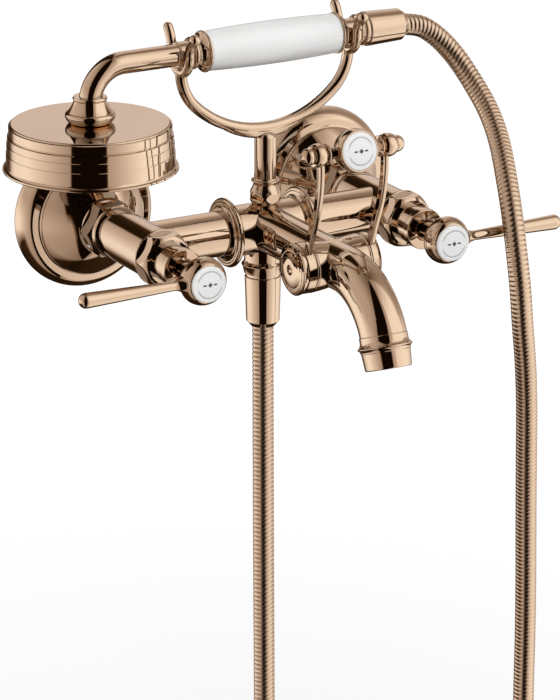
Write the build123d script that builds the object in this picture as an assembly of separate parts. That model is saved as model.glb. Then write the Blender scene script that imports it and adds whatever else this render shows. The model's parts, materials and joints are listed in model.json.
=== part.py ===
from build123d import *
import math
import os

# A wall-mounted bath mixer with a hand shower lying in a cradle. Millimetres, +Z up.
# The wall is the plane y = 0 and the room is on the -Y side. The origin is midway
# between the two inlets, on their common height. Hot is at -X, cold at +X.

# Clearances
seat_gap = 0.05        # radial, between pieces that are screwed or pressed together
run_gap = 0.06         # radial, between a turning piece and its bearing
face_gap = 0.3         # axial, between faces that move past each other

# Inlets and the two wall unions
inlet_spacing = 150.0
stud_r = 10.48
stud_length = 14.0
stud_front = 8.5
union_bore_r = 7.5
union_reach = 29.5
union_thread_r = 12.0
union_thread_length = 11.0
union_key_across = 19.0
washer_thick = 2.0

# Escutcheons
escutcheon_r = 41.3
escutcheon_rim_depth = 14.0
escutcheon_wall = 1.6
rim_face_r = 35.8
cone_r = 31.2
escutcheon_depth = 31.7

# Union nuts
nut_across = 28.0
nut_hex_length = 10.7
nut_skirt_length = 10.0
nut_bead = 4.1
tail_r = 10.2
tail_flange_r = 11.6
tail_flange_thick = 2.5

# Body casting
bar_distance = 74.5
bar_r = 12.5
bar_bore_r = 8.5
barrel_r = 14.0
valve_reach = 22.0
block_r = 14.0
block_half = 20.0
core_half = 9.0
collar_x = 22.9
collar_r = 19.3
collar_width = 5.8
forward_r = 12.7
supply_r = 4.0
supply_z = 4.8
return_r = 3.6
return_z = -5.0

# Valve cavities, cartridges and bonnets
chamber_r = 10.25
chamber_back = 9.5
skirt_r = 12.0
skirt_length = 8.5
cartridge_r = 8.4
cartridge_bore_r = 6.0
cartridge_wide_r = 10.2
cartridge_wide_length = 5.0
cartridge_neck_r = 7.0
cartridge_neck_length = 12.0
seal_thick = 2.0
disc_thick = 3.0
disc_r = 5.9
window_length = 6.0
spindle_r = 3.6
bonnet_flange_r = 15.8
bonnet_flange_thick = 1.4
bonnet_hex_across = 27.4
bonnet_hex_length = 9.6
bonnet_nose_r = 10.7
bonnet_nose_length = 15.3
bonnet_ring_r = 11.4
bonnet_ring_length = 4.4
recess_r = 6.6
recess_depth = 5.0

# Handles
neck_r = 4.2
neck_wide_r = 5.05
neck_step = 2.0
hub_start = 13.8
hub_r = 13.2
hub_to_lever = 8.4
hub_front = 6.3
cap_r = 9.96
cap_depth = 3.3
cap_stand = 1.5
cap_dome = 0.6
handle_screw_r = 2.0
handle_screw_head_r = 3.4
lever_reach = 73.0
lever_root_r = 2.7
lever_tip_r = 4.2
lever_peg_r = 2.5
lever_peg_depth = 4.4
lever_shoulder_r = 5.3
lever_flare = 5.0

# Diverter
hub_distance = 152.0
hub_z = 0.5
plug_r = 9.0
plug_half = 12.0
journal_r = 3.5
pilot_r = 1.6
pocket_r = 4.2
pocket_half = 6.5
pocket_from = -42
pocket_to = 85
throat_r = 7.0
housing_half = 17.0
housing_waist_r = 12.7
housing_ring_r = 13.9
housing_back = 14.0
housing_front = 13.5

# Bail lever
eye_thick = {"hot": 4.4, "cold": 3.2}
eye_r = 13.8
pivot_disc_r = 14.2
pivot_disc_thick = {"hot": 5.0, "cold": 2.6}
pivot_screw_r = 2.9
arm_thick = 3.2
arm_wide = 5.2
arm_eye_r = 6.4
arm_eye_half = 3.2
rod_forward = 20.0
rod_height = 67.5
rod_r = 3.2
finial_r = 4.6
finial_neck = 2.1
button_tilt = 10.0
button_face = 8.0
button_cap_r = 10.2
button_cap_depth = 3.2
arm_route = [
    (-5.5, 6.5), (-7.4, 11.0), (-10.4, 19.5), (-14.7, 30.0),
    (-18.4, 41.0), (-20.2, 52.0), (-rod_forward, rod_height),
]

# Spout
spout_r = 12.7
spout_bore_r = 9.7
spigot_r = 10.8
spigot_length = 3.0
spout_straight = 0.4
spout_bend_r = 44.0
spout_bend = 56.0
spout_sweep_r = 24.0
spout_end_angle = 70.5
spout_collar_r = 13.0
spout_collar_length = 3.2
tip_thread_r = 11.4
tip_thread_length = 6.5
aerator_ring_r = 14.8
aerator_ring_length = 5.4
aerator_nozzle_r = 13.2
aerator_end_r = 12.6
aerator_nozzle_length = 9.5
aerator_bore_r = 10.8

# Hose outlet
outlet_neck_r = 10.4
outlet_flange_r = 11.8
outlet_top = 18.0
outlet_flange_length = 7.7
outlet_groove_length = 1.7
outlet_thread_r = 7.6
outlet_thread_length = 11.0
outlet_bore_r = 5.0
check_valve_r = 6.0
check_valve_length = 8.0

# Hose and its two cone nuts
lower_nut_r = 10.1
lower_nut_length = 26.2
upper_nut_r = 9.6
upper_nut_length = 21.8
cone_nut_taper = 0.8
cone_nut_chamfer = 2.9
hose_r = 6.0
hose_groove_depth = 0.8
hose_bore_r = 3.8
hose_ribs = 200

# Cradle
cradle_forward = 3.0
pad_r = 7.2
pad_rise = 1.6
stem_r = 6.0
stem_spigot_r = 4.5
stem_socket = 3.6
stem_length = 19.0
fork_peg_r = 3.0
fork_peg_length = 5.0
cradle_nut_r = 9.3
cradle_nut_across = 16.8
cradle_nut_length = 14.9
cradle_ring_r = 7.9
arch_bottom = 57.3
arch_half = 51.6
arch_side_r = 28.0
arch_rod_r = 3.2
web_half = 26.0
web_drop = 2.7
hook_rod_r = 2.7
rear_horn = (14.4, 12.0)
front_horn = (16.0, 11.2)
horn_ball_r = 3.1

# Hand shower
handset_z = 104.7
handset_neck_r = 7.0
grip_start = -37.5
grip_end = 43.0
grip_end_r = 10.8
grip_mid_r = 11.8
tube_r = 6.1
tube_bore_r = 4.5
water_tube_r = 5.6
ferrule_rim_r = 11.4
ferrule_length = 17.0
rear_neck_length = 12.4
neck_socket = 6.0
gooseneck_bend_r = 20.0
head_x = -106.2
head_top = 74.5
head_height = 25.4
head_top_r = 42.9
head_low_r = 45.3
head_lip_r = 47.2
head_wall = 1.8
head_collar_r = 13.5
head_collar_foot_r = 10.2
head_collar_top_r = 9.3
head_collar_height = 14.5
collar_spigot_r = 7.0
spray_plate_thick = 3.0
nozzle_r = 1.1
nozzle_rows = 4
nozzle_pitch = 8.5
upper_nut_start = 61.5

# The hose hangs in a loop from the outlet to the hand shower. Its route is a list of
# points chosen along the photographed curve, with the unseen loop below it.
hose_route = [
    (0.0, -74.5, -40.4),
    (0.0, -74.5, -150.0),
    (0.4, -74.9, -285.0),
    (0.2, -75.5, -368.0),
    (0.8, -76.2, -422.0),
    (3.6, -77.5, -456.0),
    (15.2, -79.4, -484.0),
    (36.4, -81.8, -504.4),
    (63.4, -84.6, -515.8),
    (93.0, -87.6, -515.8),
    (120.4, -90.6, -504.4),
    (141.6, -93.6, -484.0),
    (153.4, -96.4, -456.0),
    (157.4, -99.0, -422.0),
    (158.4, -102.0, -372.0),
    (155.5, -106.0, -303.0),
    (151.5, -113.0, -259.0),
    (146.0, -121.0, -216.0),
    (140.1, -129.0, -177.0),
    (133.8, -138.0, -139.0),
    (127.4, -147.5, -104.0),
    (120.2, -156.5, -74.0),
    (114.5, -161.5, -50.0),
    (111.5, -163.5, -28.0),
    (110.2, -160.5, -6.0),
    (111.5, -153.0, 14.0),
    (116.0, -139.0, 31.0),
    (122.5, -122.0, 44.0),
    (126.0, -105.0, 56.5),
    (123.5, -92.0, 69.8),
    (116.6, -83.5, 84.6),
    (106.0, -79.0, 97.0),
    (93.0, -77.5, 104.7),
    (74.5, -77.5, 104.7),
]

# Values worked out from the driving sizes
inlet_x = inlet_spacing / 2
sides = {"hot": -1, "cold": 1}
nut_back = escutcheon_depth + face_gap
nut_front = nut_back + nut_hex_length + nut_bead
tail_front = union_reach + washer_thick + tail_flange_thick
barrel_front = bar_distance + valve_reach
chamber_start = bar_distance - chamber_back
cartridge_start = chamber_start + seal_thick
skirt_start = barrel_front - skirt_length
bonnet_front = barrel_front + bonnet_flange_thick + bonnet_hex_length + bonnet_nose_length
hub_back = bonnet_front + hub_start
lever_station = hub_back + hub_to_lever
hub_face = lever_station + hub_front
cradle_y = -(bar_distance + cradle_forward)
journal_end = {side: housing_half + face_gap + thick for side, thick in eye_thick.items()}
pad_top = bar_r + pad_rise
cradle_nut_top = pad_top + cradle_nut_length
stem_top = cradle_nut_top + stem_length


def outline(*steps):
    """Closed face in the XZ plane: a step is a (radius, height) corner, or a pair
    (point on the arc, corner) for an arc from the last corner."""
    edges = []
    last = steps[0]
    for step in steps[1:] + (steps[0],):
        if isinstance(step[0], tuple):
            spots = [(r, 0, h) for r, h in (last, *step)]
            edges.append(ThreePointArc(*spots))
            last = step[1]
        else:
            edges.append(Line((last[0], 0, last[1]), (step[0], 0, step[1])))
            last = step
    return make_face(Wire(edges))


def dome(radius, base, rise):
    """Arc step from (radius, base) to the axis, on a sphere, rise higher in the middle."""
    sphere_r = (radius ** 2 + rise ** 2) / (2 * rise)
    half = math.sqrt(sphere_r ** 2 - radius ** 2 / 4) - sphere_r + rise
    return ((radius / 2, base + half), (0, base + rise))


def turned(*steps):
    """Solid of revolution about Z."""
    return revolve(outline(*steps), Axis.Z)


def rod(radius, start, end, bore=0.0):
    """Cylinder about Z from one height to another, with an optional bore."""
    solid = extrude(Plane.XY.offset(start) * Circle(radius), end - start)
    if bore > 0:
        solid -= extrude(Plane.XY.offset(start) * Circle(bore), end - start)
    return solid


def hexagon(across, start, end):
    """Hexagonal bar about Z, with its two ends chamfered as a nut's are."""
    corner = across / math.sqrt(3)
    bar = extrude(Plane.XY.offset(start) * RegularPolygon(corner, 6), end - start)
    bevel = (corner - across / 2) * 0.6
    return bar & turned(
        (0, start), (across / 2, start), (corner, start + bevel),
        (corner, end - bevel), (across / 2, end), (0, end),
    )


def facing_room(shape, x, z=0.0):
    """Turns a shape built along Z so that it stands out of the wall at (x, z)."""
    return Plane(origin=(x, 0, z), x_dir=(1, 0, 0), z_dir=(0, -1, 0)).location * shape


def along_x(shape, x, y, z, sign=1):
    """Turns a shape built along Z to lie along +X or -X, starting at (x, y, z)."""
    return Plane(origin=(x, y, z), x_dir=(0, 0, 1), z_dir=(sign, 0, 0)).location * shape


def upright(shape, x, y, z=0.0, sign=1):
    """Places a shape built along Z upright, or upside down, at (x, y, z)."""
    return Plane(origin=(x, y, z), x_dir=(1, 0, 0), z_dir=(0, 0, sign)).location * shape


def tube(path, radius):
    """Round bar swept along a path."""
    return sweep(Plane(origin=path @ 0, z_dir=path % 0) * Circle(radius), path=path)


def wall_side(parts):
    """Unions, washers, escutcheons and nuts, one of each per inlet."""
    thread_start = union_reach - union_thread_length
    union = rod(stud_r, -stud_length, stud_front, union_bore_r)
    union += rod(union_key_across / 2, stud_front, thread_start, union_bore_r)
    union += rod(union_thread_r, thread_start, union_reach, union_bore_r)
    washer = rod(tail_flange_r, union_reach, union_reach + washer_thick, union_bore_r)
    mouth = nut_across / 2 + 2 * face_gap
    edge = escutcheon_r
    rim = escutcheon_rim_depth
    wall = escutcheon_wall
    depth = escutcheon_depth
    escutcheon = turned(
        (edge - 2.5, 0), ((edge - 0.6, 1.3), (edge, 3.7)),
        ((edge - 1.45, rim - 4.5), (rim_face_r, rim)), (rim_face_r - 3.2, rim + 0.3),
        ((cone_r + 0.4, rim + 1.0), (cone_r, rim + 2.6)),
        (((cone_r + mouth + wall) / 2 + 0.4, (rim + 2.6 + depth) / 2 + 0.5), (mouth + wall, depth)),
        (mouth, depth), (mouth, depth - 0.9), (cone_r - 1.2, rim + 1.6), (cone_r + 0.2, rim - 1.1),
        (rim_face_r - 0.8, rim - 1.6), (edge - 3.2, rim - 5.0), (edge - wall - 0.1, 3.7),
        (edge - 2.5 - wall, 0),
    )
    corner = nut_across / math.sqrt(3)
    skirt_back = nut_back - nut_skirt_length
    nut = rod(nut_across / 2, skirt_back, nut_back)
    nut += hexagon(nut_across, nut_back, nut_back + nut_hex_length)
    nut += turned(
        (0, nut_front - nut_bead), (nut_across / 2 - 0.1, nut_front - nut_bead),
        ((nut_across / 2 + 0.7, nut_front - nut_bead * 0.6), (nut_across / 2 + 0.1, nut_front)),
        (0, nut_front),
    )
    nut -= rod(union_thread_r + seat_gap, skirt_back, tail_front)
    nut -= rod(tail_r + seat_gap, tail_front, nut_front)
    washers = []
    for side, sign in sides.items():
        parts[f"wall_union_{side}"] = facing_room(union, sign * inlet_x)
        parts[f"escutcheon_{side}"] = facing_room(escutcheon, sign * inlet_x)
        parts[f"union_nut_{side}"] = facing_room(nut, sign * inlet_x)
        washers.append(facing_room(washer, sign * inlet_x))
    parts["union_washers"] = washers


def body_casting(parts):
    """Crossbar, valve barrels, centre block and forward barrel in one casting."""
    bar = along_x(rod(bar_r, -inlet_x, inlet_x), 0, -bar_distance, 0)
    block = along_x(rod(block_r, -block_half, block_half), 0, -bar_distance, 0)
    forward_end = hub_distance - housing_back
    forward = facing_room(rod(forward_r, bar_distance, forward_end), 0, hub_z)
    boss = upright(rod(outlet_neck_r, 0, outlet_top), 0, -bar_distance, 0, -1)
    body = bar + block + forward + boss
    barrel = rod(barrel_r, nut_front + face_gap, barrel_front)
    barrel += rod(tail_r, union_reach + washer_thick, nut_front + face_gap)
    barrel += rod(tail_flange_r, union_reach + washer_thick, tail_front)
    cavity = rod(union_bore_r, union_reach + washer_thick, chamber_start)
    cavity += rod(chamber_r, chamber_start, skirt_start)
    cavity += rod(skirt_r, skirt_start, barrel_front)
    for sign in sides.values():
        body += facing_room(barrel, sign * inlet_x)
    for sign in sides.values():
        body -= facing_room(cavity, sign * inlet_x)
        body -= along_x(rod(bar_bore_r, core_half, inlet_x), 0, -bar_distance, 0, sign)
    body -= along_x(rod(supply_r, -core_half - 1, core_half + 1), 0, -bar_distance, supply_z)
    body -= facing_room(rod(supply_r, bar_distance, forward_end), 0, supply_z)
    body -= facing_room(rod(return_r, bar_distance, forward_end), 0, return_z)
    body -= upright(rod(outlet_bore_r, -return_z, outlet_top), 0, -bar_distance, 0, -1)
    thread_socket = outlet_thread_length * 0.6
    body -= upright(rod(outlet_thread_r, outlet_top - thread_socket, outlet_top), 0, -bar_distance, 0, -1)
    pad = upright(rod(pad_r, 0, pad_top), 0, cradle_y)
    body += pad - along_x(rod(bar_bore_r + 1.5, -block_half, block_half), 0, -bar_distance, 0)
    body -= upright(rod(stem_spigot_r + seat_gap, pad_top - stem_socket, pad_top), 0, cradle_y)
    parts["mixer_body"] = body
    half = collar_width / 2
    bore = bar_r + seat_gap
    collar = turned(
        (bore, -half), (bore + 1.6, -half), ((bore + 2.9, -half + 1.1), (collar_r - 2.0, -half + 1.0)),
        ((collar_r, 0), (collar_r - 2.0, half - 1.0)),
        ((bore + 2.9, half - 1.1), (bore + 1.6, half)), (bore, half),
    )
    block_end = block_half + seat_gap
    seat = along_x(rod(block_r + seat_gap, -block_end, block_end), 0, -bar_distance, 0)
    collars = []
    for sign in sides.values():
        collars.append(along_x(collar, sign * collar_x, -bar_distance, 0) - seat)
    parts["bar_collars"] = collars


def valves(parts):
    """Seals, cartridges with their ceramic discs, spindles and bonnets."""
    seat_end = cartridge_start + disc_thick
    disc_end = seat_end + seat_gap + disc_thick
    window_start = disc_end + disc_thick
    bearing_start = window_start + window_length
    wide_start = skirt_start - cartridge_wide_length
    neck_end = skirt_start + cartridge_neck_length
    seal = rod(cartridge_r, chamber_start, cartridge_start, cartridge_bore_r - 1)
    shell = rod(cartridge_r, cartridge_start, wide_start)
    shell += rod(cartridge_wide_r, wide_start, skirt_start)
    shell += rod(cartridge_neck_r, skirt_start, neck_end)
    shell -= rod(cartridge_bore_r, cartridge_start, bearing_start)
    shell -= rod(spindle_r + run_gap, bearing_start, neck_end)
    window_mid = (window_start + bearing_start) / 2
    window = Box(3 * cartridge_r, cartridge_r, window_length - 2)
    shell -= Pos(0, 0, window_mid) * window
    port_r = disc_r * 0.32
    seat = rod(cartridge_bore_r - seat_gap, cartridge_start, seat_end)
    disc = rod(disc_r, seat_end + seat_gap, disc_end)
    for turn in (0, 180):
        port = Rot(0, 0, turn) * (Pos(disc_r * 0.55, 0, 0) * rod(port_r, cartridge_start, disc_end))
        seat -= port
        disc -= Rot(0, 0, 90) * port
    spindle_end = lever_station - lever_root_r - 2.5
    spindle = rod(disc_r, disc_end, window_start)
    spindle += rod(spindle_r, window_start, spindle_end)
    spindle -= rod(handle_screw_r - 0.3, spindle_end - 12, spindle_end)
    flange_end = barrel_front + bonnet_flange_thick
    hex_end = flange_end + bonnet_hex_length
    flange_r = bonnet_flange_r
    bonnet = rod(skirt_r - seat_gap, skirt_start, barrel_front)
    bonnet += turned(
        (0, barrel_front), (flange_r - 0.7, barrel_front),
        ((flange_r - 0.1, barrel_front + 0.25), (flange_r, barrel_front + 0.7)),
        ((flange_r - 0.1, flange_end - 0.25), (flange_r - 0.6, flange_end)), (0, flange_end),
    )
    key = turned(
        (0, barrel_front), (flange_r - 0.6, barrel_front), (flange_r - 0.1, hex_end - 6.5),
        ((flange_r - 1.0, hex_end - 2.4), (bonnet_hex_across / 2 - 1.3, hex_end)), (0, hex_end),
    )
    bonnet += key & hexagon(bonnet_hex_across, barrel_front, hex_end + 2)
    nose = bonnet_nose_r
    ring = bonnet_ring_r
    ring_back = bonnet_front - bonnet_ring_length
    bonnet += turned(
        (0, hex_end), (nose, hex_end), (nose, ring_back - 0.8),
        (nose - 0.3, ring_back - 0.5), (nose - 0.3, ring_back), (ring - 0.4, ring_back),
        ((ring - 0.1, ring_back + 0.2), (ring, ring_back + 0.7)), (ring, bonnet_front - 0.7),
        ((ring - 0.2, bonnet_front - 0.2), (ring - 0.7, bonnet_front)), (0, bonnet_front),
    )
    bonnet -= rod(cartridge_neck_r + seat_gap, skirt_start, neck_end)
    bonnet -= rod(spindle_r + face_gap, neck_end, bonnet_front)
    bonnet -= rod(recess_r, bonnet_front - recess_depth, bonnet_front)
    seals = []
    seats = []
    for side, sign in sides.items():
        x = sign * inlet_x
        seals.append(facing_room(seal, x))
        seats.append(facing_room(seat, x))
        parts[f"cartridge_{side}"] = facing_room(shell, x)
        parts[f"ceramic_disc_{side}"] = facing_room(disc, x)
        parts[f"spindle_{side}"] = facing_room(spindle, x)
        parts[f"bonnet_{side}"] = facing_room(bonnet, x)
    parts["cartridge_seals"] = seals
    parts["ceramic_seats"] = seats


def handles(parts):
    """Hub, lever, porcelain cap and screw of each handle."""
    neck_start = bonnet_front - recess_depth + 1
    spindle_end = lever_station - lever_root_r - 2.5
    cap_seat = hub_face - cap_depth
    cap_top = hub_face + cap_stand
    wide = neck_wide_r
    shell = turned(
        (0, neck_start), (neck_r, neck_start), (neck_r, neck_start + neck_step),
        ((wide - 0.2, neck_start + neck_step + 0.2), (wide, neck_start + neck_step + 0.7)),
        (wide, hub_back), ((hub_r - 4.2, hub_back + 1.8), (hub_r - 1.6, hub_back + 4.1)),
        ((hub_r - 0.35, hub_back + 6.2), (hub_r, lever_station)),
        ((hub_r - 0.72, hub_face - 3.0), (hub_r - 2.5, hub_face - 0.3)),
        (hub_r - 2.9, hub_face), (0, hub_face),
    )
    hub = shell - rod(spindle_r + seat_gap, neck_start, spindle_end)
    hub -= rod(handle_screw_r + seat_gap, spindle_end, cap_seat)
    head_seat = cap_seat - 2.6
    hub -= rod(handle_screw_head_r + seat_gap, head_seat, cap_seat)
    hub -= rod(cap_r + seat_gap, cap_seat, hub_face)
    cap = turned(
        (0, cap_seat), (cap_r, cap_seat), (cap_r, cap_top - 0.9),
        ((cap_r - 0.25, cap_top - 0.25), (cap_r - 0.9, cap_top)), dome(cap_r - 0.9, cap_top, cap_dome),
    )
    screw = rod(handle_screw_head_r, head_seat, cap_seat - 0.2)
    screw += rod(handle_screw_r - 0.35, spindle_end - 9, head_seat)
    screw -= Pos(0, 0, cap_seat - 0.7) * Box(3 * handle_screw_head_r, 1.0, 1.0)
    peg_start = hub_r - lever_peg_depth
    shoulder = hub_r * 0.88
    flare_end = hub_r + lever_flare
    tip_r = lever_tip_r
    taper_end = lever_reach - tip_r
    lever = turned(
        (0, peg_start), (lever_peg_r, peg_start), (lever_peg_r, shoulder), (lever_shoulder_r, shoulder),
        ((lever_root_r * 1.2, hub_r + lever_flare / 3), (lever_root_r, flare_end)),
        (tip_r, taper_end), dome(tip_r, taper_end, tip_r),
    )
    for side, sign in sides.items():
        x = sign * inlet_x
        placed_hub = facing_room(hub, x)
        placed_hub -= along_x(rod(lever_peg_r + seat_gap, peg_start, hub_r + 1), x, -lever_station, 0, sign)
        placed_lever = along_x(lever, x, -lever_station, 0, sign)
        peg = along_x(rod(lever_peg_r, peg_start, hub_r), x, -lever_station, 0, sign)
        placed_lever = placed_lever - facing_room(shell, x) + peg
        parts[f"handle_hub_{side}"] = placed_hub
        parts[f"lever_{side}"] = placed_lever
        parts[f"handle_cap_{side}"] = facing_room(cap, x)
        parts[f"handle_screw_{side}"] = facing_room(screw, x)


def diverter(parts):
    """Housing with its gland, and the plug that sends the water down or up."""
    y = -hub_distance
    half = housing_half
    ring = housing_ring_r
    waist = housing_waist_r
    back = hub_distance - housing_back
    front = hub_distance + housing_front
    cross = turned(
        (0, -half), (ring - 0.5, -half), ((ring - 0.1, -half + 0.3), (ring, -half + 0.8)),
        (ring - 0.4, -half + 1.3), (ring - 0.4, -half + 1.6), (ring - 0.1, -half + 1.9),
        ((ring - 0.5, -half * 0.6), (waist, -half * 0.3)), (waist, half * 0.3),
        ((ring - 0.5, half * 0.6), (ring - 0.1, half - 1.9)),
        (ring - 0.4, half - 1.6), (ring - 0.4, half - 1.3),
        (ring, half - 0.8), ((ring - 0.1, half - 0.3), (ring - 0.5, half)), (0, half),
    )
    along = rod(spout_r, back, front)
    housing = along_x(cross, 0, y, hub_z) + facing_room(along, 0, hub_z)
    gland_start = plug_half + face_gap
    housing -= along_x(rod(plug_r + run_gap, -half, gland_start), 0, y, hub_z)
    housing -= along_x(rod(journal_r + run_gap, plug_half, half), 0, y, hub_z)
    housing -= facing_room(rod(supply_r, back, hub_distance), 0, supply_z)
    housing -= facing_room(rod(return_r, back, hub_distance), 0, return_z)
    housing -= facing_room(rod(throat_r, hub_distance, front), 0, hub_z)
    housing -= facing_room(rod(spigot_r + seat_gap, front - spigot_length, front), 0, hub_z)
    parts["diverter_housing"] = housing
    gland = rod(plug_r, gland_start, half, journal_r + run_gap)
    parts["diverter_gland"] = along_x(gland, 0, y, hub_z, -1)
    plug = rod(plug_r, -plug_half, plug_half)
    corners = [(0, 0)]
    for step in range(5):
        turn = math.radians(pocket_from + (pocket_to - pocket_from) * step / 4)
        corners.append((3 * plug_r * math.cos(turn), 3 * plug_r * math.sin(turn)))
    sector = make_face(Polyline(*corners, close=True))
    wedge = extrude(Plane.XY.offset(-pocket_half) * sector, 2 * pocket_half)
    plug -= rod(plug_r + 1, -pocket_half, pocket_half, pocket_r) & wedge
    plug += rod(journal_r, -journal_end["hot"], journal_end["cold"])
    plug -= rod(pilot_r, journal_end["cold"] - 8, journal_end["cold"])
    plug -= rod(pilot_r, -journal_end["hot"], 8 - journal_end["hot"])
    # The pocket's angles count from +Y, where the supply and return channels come in.
    lying = Plane(origin=(0, y, hub_z), x_dir=(0, 1, 0), z_dir=(1, 0, 0))
    parts["diverter_plug"] = lying.location * plug


def bail(parts):
    """The lever over the diverter: discs, screws, arms, cross rod, finials and button."""
    y = -hub_distance
    rod_y = y - rod_forward
    rod_z = hub_z + rod_height
    ring = turned(
        (0, -arm_eye_half), (arm_eye_r - 0.8, -arm_eye_half),
        ((arm_eye_r, 0), (arm_eye_r - 0.8, arm_eye_half)), (0, arm_eye_half),
    )
    arm_x = journal_end["hot"] - eye_thick["hot"] / 2
    ring_x = arm_x + 1.6
    discs = []
    screws = []
    arms = []
    for side, sign in sides.items():
        end = journal_end[side]
        disc, screw = pivot_button(pivot_disc_thick[side])
        discs.append(along_x(disc, sign * end, y, hub_z, sign))
        screws.append(along_x(screw, sign * end, y, hub_z, sign))
        eye = rod(eye_r, 0, eye_thick[side], journal_r + seat_gap)
        eye_x = end - eye_thick[side] / 2
        points = []
        for step, (forward, up) in enumerate(arm_route):
            share = step / (len(arm_route) - 1)
            x = eye_x + (arm_x - eye_x) * share ** 2
            points.append((sign * x, y + forward, hub_z + up))
        path = Spline(*points, tangents=[(0, -0.30, 0.95), (0, 0.1, 1)])
        section = Plane(origin=path @ 0, x_dir=(1, 0, 0), z_dir=path % 0)
        arm = along_x(eye, sign * (end - eye_thick[side]), y, hub_z, sign)
        arm += sweep(section * RectangleRounded(arm_thick - 0.1, arm_wide, 1.2), path=path)
        arm += along_x(ring, sign * ring_x, rod_y, rod_z)
        arm -= along_x(rod(rod_r + seat_gap, -9, 9), sign * ring_x, rod_y, rod_z)
        arm -= along_x(rod(journal_r + seat_gap, -9, 9), sign * arm_x, y, hub_z)
        arms.append(arm)
    parts["pivot_discs"] = discs
    parts["pivot_screws"] = screws
    parts["bail_arms"] = arms
    rod_end = ring_x + arm_eye_half
    cross = turned(
        (0, -rod_end), (rod_r, -rod_end), (rod_r, -16.8), (5.4, -16.6), ((5.7, -16.0), (5.4, -15.4)),
        (rod_r + 0.6, -15.2), ((rod_r + 0.2, -13.6), (rod_r, -12.5)),
        (rod_r, 12.5), ((rod_r + 0.2, 13.6), (rod_r + 0.6, 15.2)),
        (5.4, 15.4), ((5.7, 16.0), (5.4, 16.6)), (rod_r, 16.8), (rod_r, rod_end), (0, rod_end),
    )
    cross -= rod(pilot_r + seat_gap, rod_end - 6.2, rod_end)
    cross -= rod(pilot_r + seat_gap, -rod_end, 6.2 - rod_end)
    parts["bail_rod"] = along_x(cross, 0, rod_y, rod_z)
    ball_x = rod_end + finial_neck
    neck = math.sqrt(finial_r ** 2 - finial_neck ** 2)
    finial = turned(
        (0, rod_end), (neck, rod_end), ((finial_r, ball_x), (0, ball_x + finial_r)),
    )
    finial += rod(pilot_r, rod_end - 6, rod_end)
    parts["bail_finials"] = [along_x(finial, 0, rod_y, rod_z, sign) for sign in sides.values()]
    tilt = math.radians(button_tilt)
    seat = button_face - button_cap_depth
    case = turned(
        (0, -9.0), (2.6, -9.0), ((5.4, -7.2), (7.6, -4.6)), ((10.2, -2.6), (11.3, 0.6)),
        ((11.8, 3.6), (11.2, button_face - 1.0)), ((11.1, button_face - 0.2), (10.8, button_face)),
        (0, button_face),
    )
    case -= along_x(rod(rod_r + seat_gap, -1.5 * button_cap_r, 1.5 * button_cap_r), 0, 0, 0)
    case -= rod(button_cap_r + seat_gap, seat, button_face)
    cap = turned(
        (0, seat), (button_cap_r, seat), (button_cap_r, button_face - 0.4),
        ((button_cap_r - 0.25, button_face + 0.25), (button_cap_r - 0.9, button_face + 0.6)),
        dome(button_cap_r - 0.9, button_face + 0.6, cap_dome + 0.4),
    )
    aim = Plane(origin=(0, rod_y, rod_z), x_dir=(1, 0, 0), z_dir=(0, -math.cos(tilt), math.sin(tilt)))
    parts["button_housing"] = aim.location * case
    parts["shower_cap"] = aim.location * cap


def pivot_button(thick):
    """A stepped disc that caps a pivot, standing on Z, and the screw in its middle."""
    edge = pivot_disc_r
    head_r = pivot_screw_r
    head_seat = thick - 1.4
    disc = turned(
        (0, 0), (edge - 1.0, 0), ((edge - 0.35, thick * 0.2), (edge, thick * 0.46)), (edge, thick * 0.56),
        (edge - 0.9, thick * 0.68), (edge - 1.0, thick * 0.74), (edge - 2.1, thick * 0.80),
        (edge - 2.2, thick * 0.86), (edge - 3.3, thick * 0.90), (edge - 3.6, thick * 0.82),
        (edge - 3.9, thick * 0.82), ((edge * 0.5, thick * 0.97), (head_r + 0.4, thick)), (0, thick),
    )
    disc -= rod(head_r + seat_gap, head_seat, thick)
    disc -= rod(pilot_r, 0, head_seat)
    screw = turned(
        (0, head_seat), (head_r, head_seat), (head_r, thick - 0.3), dome(head_r, thick - 0.3, 0.8),
    )
    screw += rod(pilot_r - seat_gap, -6.5, head_seat)
    screw -= Pos(0, 0, thick + 0.4) * Box(3 * head_r, 1.0, 1.5)
    return disc, screw


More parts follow.
